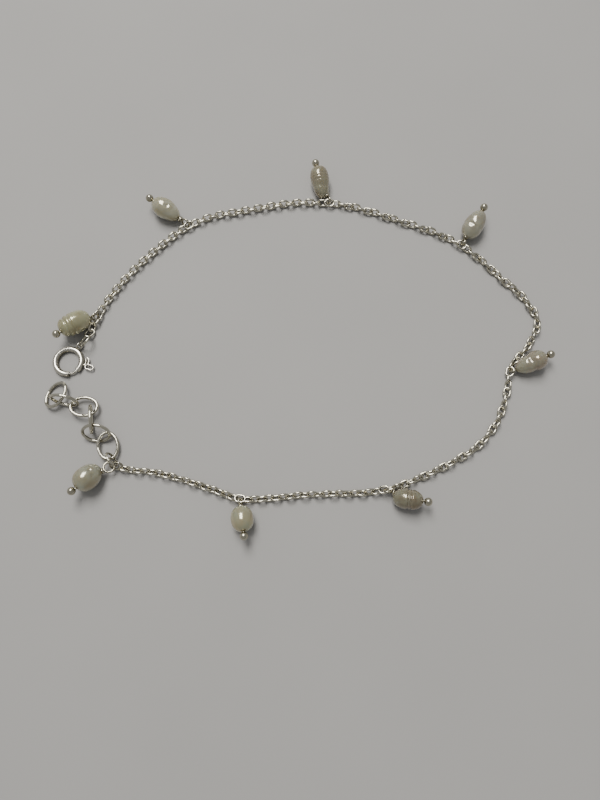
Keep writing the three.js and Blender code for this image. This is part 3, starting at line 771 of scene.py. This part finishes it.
LAST_LOOP, LAST_ROLL = (-31.21, -22.58, 1.14), 90
last = next(d for d in DROPS if d["along"] is None)
slope = resting_slope(last, LAST_LOOP[2], drop_places(last)["middle"])
hang_drop(last, LAST_LOOP, slope, LAST_ROLL)
print("drop", last["number"], "slope", round(slope, 3))

# %% [markdown]
# ## The spring ring clasp
#
# A spring ring is a hollow ring with a mouth. A bent wire, the gate, slides inside it against a
# coil spring and closes the mouth, and its trigger stands out through a slot. The ring is made as
# an open skin with the slot's faces left out, and a Solidify modifier gives it its wall and closes
# its rims. The gate is a piece of its own that rides on the gate's body, so it turns with it.

# %% The clasp's ring
CLASP_AT = np.array((-39.8, -4.1, 0.5))
RING_RADIUS, TUBE_RADIUS, BORE_RADIUS = 2.27, 0.48, 0.32
GAP_FROM, GAP_TO = -82, -45
TRIGGER_ANGLE, TRIGGER_WIRE, TRAVEL = -12, 0.14, 32
EYE_ANGLE, EYE_REACH, EYE_LIFT = 56, 3.29, 0.3
EYE_RADIUS, EYE_WIRE, EYE_LEAN, SOLDER_RADIUS = 0.6, 0.16, -16, 0.27
SKIN_SIDES, SKIN_STEPS = 32, 215
SLOT_MARGIN = 6  # degrees of slot left beyond each end of the trigger's travel
SLOT_COLUMNS = range(14, 18)  # the four faces that look straight out from the ring's middle


def arc(radius, angles):
    """Points of an arc about the origin in the XY plane, from angles in degrees."""
    a = np.radians(angles)
    return radius * np.stack([np.cos(a), np.sin(a), 0 * a], -1)


def clasp_skin():
    """The ring's outer skin, one row for every 1.5 degrees, without its mouth and its slot."""
    angles = np.linspace(GAP_TO, GAP_FROM + 360, SKIN_STEPS + 1)
    points, faces = tube(arc(RING_RADIUS, angles), TUBE_RADIUS, (0, 0, 1), SKIN_SIDES)
    row, column = np.divmod(np.arange(len(faces)), SKIN_SIDES)
    slot_from, slot_to = TRIGGER_ANGLE - SLOT_MARGIN, TRIGGER_ANGLE + TRAVEL + SLOT_MARGIN
    in_slot = (angles[row] > slot_from) & (angles[row] < slot_to)
    return points, faces[~(in_slot & np.isin(column, SLOT_COLUMNS))]


def arc_wire(radius, start, end, wire, sides=14):
    """A wire bent to an arc, with rounded ends."""
    s, r = with_round_ends(radius * np.radians(end - start), wire, 24)
    return tube(arc(radius, start + np.degrees(s / radius)), r, (0, 0, 1), sides)


ring = placed(clasp_skin(), np.eye(3), CLASP_AT)
clasp_body = make_piece("clasp_body", ring, clasp_silver, "clasp_ring")
wall = clasp_body.modifiers.new("wall", "SOLIDIFY")
wall.thickness = (TUBE_RADIUS - BORE_RADIUS) * MM
wall.offset = -1
edge = clasp_body.modifiers.new("edge", "BEVEL")
edge.width, edge.segments, edge.limit_method = 0.03 * MM, 2, "ANGLE"

eye_size = 2 * (EYE_RADIUS + EYE_WIRE)
eye = placed(oval_ring(eye_size, eye_size, 2 * EYE_WIRE), turned(roll=90 + EYE_LEAN),
             (EYE_REACH, 0, EYE_LIFT))
solder = placed(sphere(RING_RADIUS + TUBE_RADIUS, SOLDER_RADIUS), np.eye(3), (0, 0, EYE_LIFT / 2))
make_piece("clasp_eye", placed(joined(eye, solder), turned(EYE_ANGLE), CLASP_AT), clasp_silver,
           "clasp_ring")

# %% The clasp's gate
GATE_WIRE, GATE_FROM, GATE_TO = 0.2, -86, 2
HAIRPIN_GAP, HAIRPIN_WIDTH, STEM_OVERLAP = 0.26, 0.48, 0.05
INNER_LEG = RING_RADIUS + TUBE_RADIUS + HAIRPIN_GAP
OUTER_LEG = INNER_LEG + HAIRPIN_WIDTH
INNER_ANGLES, BEND_ANGLE, OUTER_ANGLES = (-14, -7, 0, 7), 11.2, (7, -3, -10)
TAB, TAB_ANGLE, TAB_REACH = dict(length=1.7, width=1.05, wire=2 * TRIGGER_WIRE), -16, 0.82

gate = arc_wire(RING_RADIUS, GATE_FROM, GATE_TO, GATE_WIRE)
angle = np.radians([*INNER_ANGLES, BEND_ANGLE, *OUTER_ANGLES])
reach = np.repeat([INNER_LEG, (INNER_LEG + OUTER_LEG) / 2, OUTER_LEG],
                  [len(INNER_ANGLES), 1, len(OUTER_ANGLES)])
legs = smooth_route(np.stack([reach * np.cos(angle), reach * np.sin(angle)], -1), 10)
hairpin = tube(np.column_stack([legs, 0 * legs[:, 0]]), TRIGGER_WIRE, (0, 0, 1))
stem = placed(straight_wire((RING_RADIUS, 0, 0), (INNER_LEG + STEM_OVERLAP, 0, 0), TRIGGER_WIRE,
                            (0, 0, 1)), turned(TRIGGER_ANGLE), (0, 0, 0))
tab = placed(oval_ring(**TAB), turned(TAB_ANGLE), (INNER_LEG + TAB_REACH) * level(TAB_ANGLE))
make_piece("clasp_gate_wire", placed(joined(gate, hairpin, stem, tab), np.eye(3), CLASP_AT),
           clasp_silver, "clasp_gate", body="gate")
print("clasp pieces: body, eye and gate wire")

# %% [markdown]
# ## The table
#
# The bracelet lies on a plain pale surface. It belongs to the stage, not to the bracelet.

# %% The table
floor_mesh = bpy.data.meshes.new("table_top")
REACH = 1.5  # metres from the middle to each edge
floor_mesh.from_pydata([(-REACH, -REACH, 0), (REACH, -REACH, 0), (REACH, REACH, 0), (-REACH, REACH, 0)],
                       [], [(0, 1, 2, 3)])
floor = bpy.data.objects.new("table_top", floor_mesh)
bpy.context.scene.collection.objects.link(floor)
board, tree, shader = new_material("matt_white_board")
shader.inputs["Roughness"].default_value = 0.7
where = add_node(tree, "ShaderNodeTexCoord").outputs["Object"]
mottle = add_node(tree, "ShaderNodeTexNoise", Vector=where, Scale=1 / (30 * MM), Detail=3.0).outputs["Fac"]
tree.links.new(colour_ramp(tree, mottle, [(0.3, "a6a5a4"), (0.7, "a9a8a7")]),
               shader.inputs["Base Color"])
floor_mesh.materials.append(board)
floor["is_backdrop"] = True

# %% Sizes and the end
visual_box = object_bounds()
size = {"cad_box": [list(map(float, corner)) for corner in cad_box],
        "visual_box": [list(map(float, corner)) for corner in visual_box]}
print("visual box in mm", [[round(c / MM, 2) for c in corner] for corner in size["visual_box"]])
